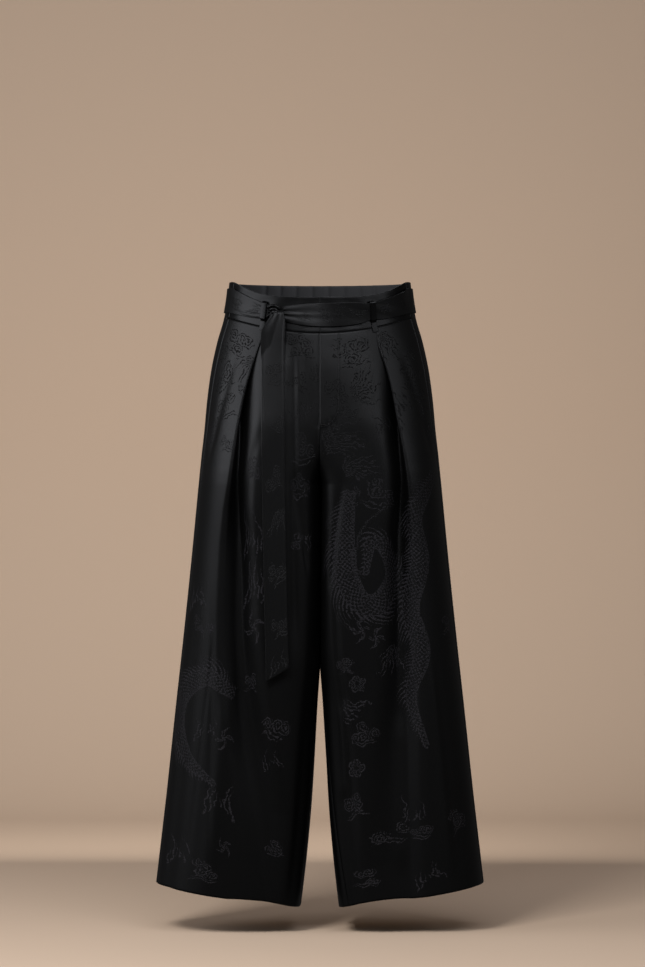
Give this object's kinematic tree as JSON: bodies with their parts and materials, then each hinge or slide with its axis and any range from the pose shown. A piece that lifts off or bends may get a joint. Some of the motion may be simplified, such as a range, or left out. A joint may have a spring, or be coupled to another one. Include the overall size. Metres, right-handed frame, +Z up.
{
  "type": "wide-leg pleated trousers with a tie belt",
  "caption": "Wide-leg pleated trousers in black satin jacquard, worn form with hollow waist and legs, tied with a fabric sash through belt loops.",
  "frame": {"origin": "centre of the waist opening, halfway down the waistband at the side seams, where the wearer's waist holds the trousers up", "axes": "+Z up towards the waist opening, -Y to the front, +X to the wearer's left"},
  "size_m": [0.5425, 0.2703, 1.0302],
  "materials": {
    "jacquard": "black satin jacquard, tone on tone, glossy ground with duller woven motifs",
    "sash_satin": "black satin, smooth and softly glossy"
  },
  "bodies": {
    "root": {"front_panel_right": "jacquard", "front_panel_left": "jacquard", "back_panel_right": "jacquard", "back_panel_left": "jacquard", "fly_facing": "jacquard", "waistband_front_right": "jacquard", "waistband_front_left": "jacquard", "waistband_back": "jacquard", "belt_loop_front_right": "jacquard", "belt_loop_front_left": "jacquard", "belt_loop_back_right": "jacquard", "belt_loop_back_left": "jacquard", "sash_round_waist": "sash_satin", "sash_knot": "sash_satin", "sash_tail": "sash_satin"}
  },
  "joints": []
}
